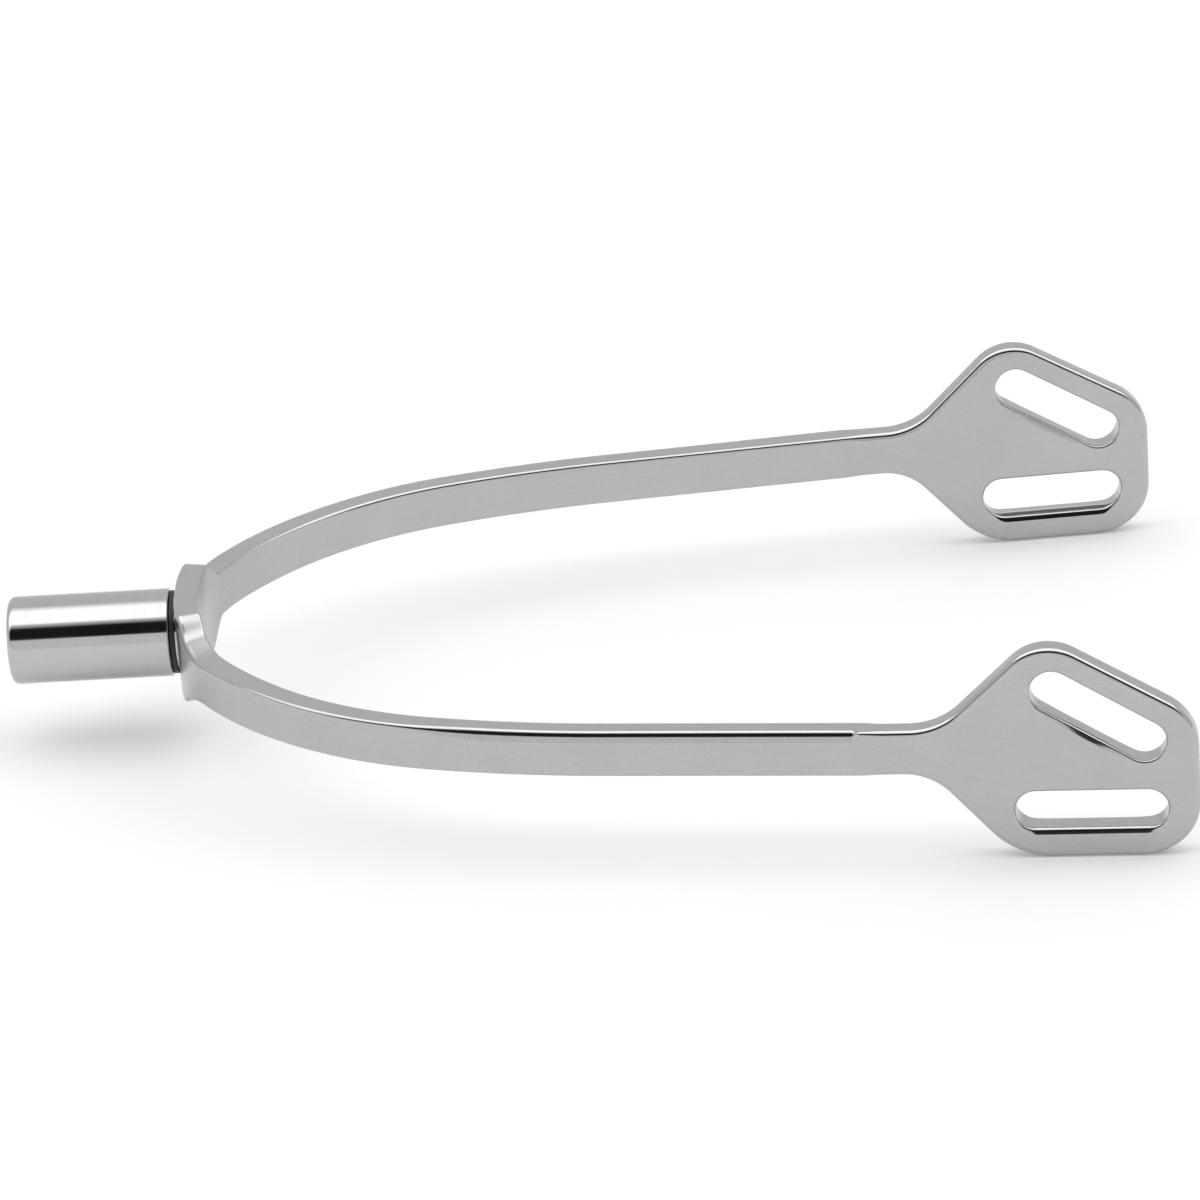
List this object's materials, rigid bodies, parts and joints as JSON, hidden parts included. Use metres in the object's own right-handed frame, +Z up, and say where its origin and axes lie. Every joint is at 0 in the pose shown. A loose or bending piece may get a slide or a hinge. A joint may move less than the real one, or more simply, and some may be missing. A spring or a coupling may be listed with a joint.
{
  "type": "riding spur",
  "caption": "Riding spur with a heel band, two slotted strap plates and a smooth roller that turns on a short neck.",
  "frame": {"origin": "middle of the heel seat, the inner face of the heel band, where the boot's heel rests", "axes": "+X towards the toe along the arms, +Z up, so the roller points to -X and the plates lie either side of Y = 0"},
  "size_m": [0.1379, 0.0886, 0.0263],
  "materials": {
    "polished_steel_band": "satin polished",
    "turned_steel": "turned",
    "black_polymer": "matte",
    "bush_polymer": "matte",
    "spring_steel": "blued",
    "mirror_steel_roller": "mirror polished"
  },
  "bodies": {
    "band": {"yoke": "polished_steel_band", "axle_pin": "turned_steel", "thrust_washer": "black_polymer", "retaining_ring": "spring_steel"},
    "roller": {"roller_sleeve": "mirror_steel_roller", "bearing_bush": "bush_polymer"}
  },
  "joints": [
    {"name": "roller_spin", "type": "hinge", "parent": "band", "child": "roller", "pos_m": [-0.013, 0, 0], "axis": [-1, 0, 0], "continuous": true}
  ]
}
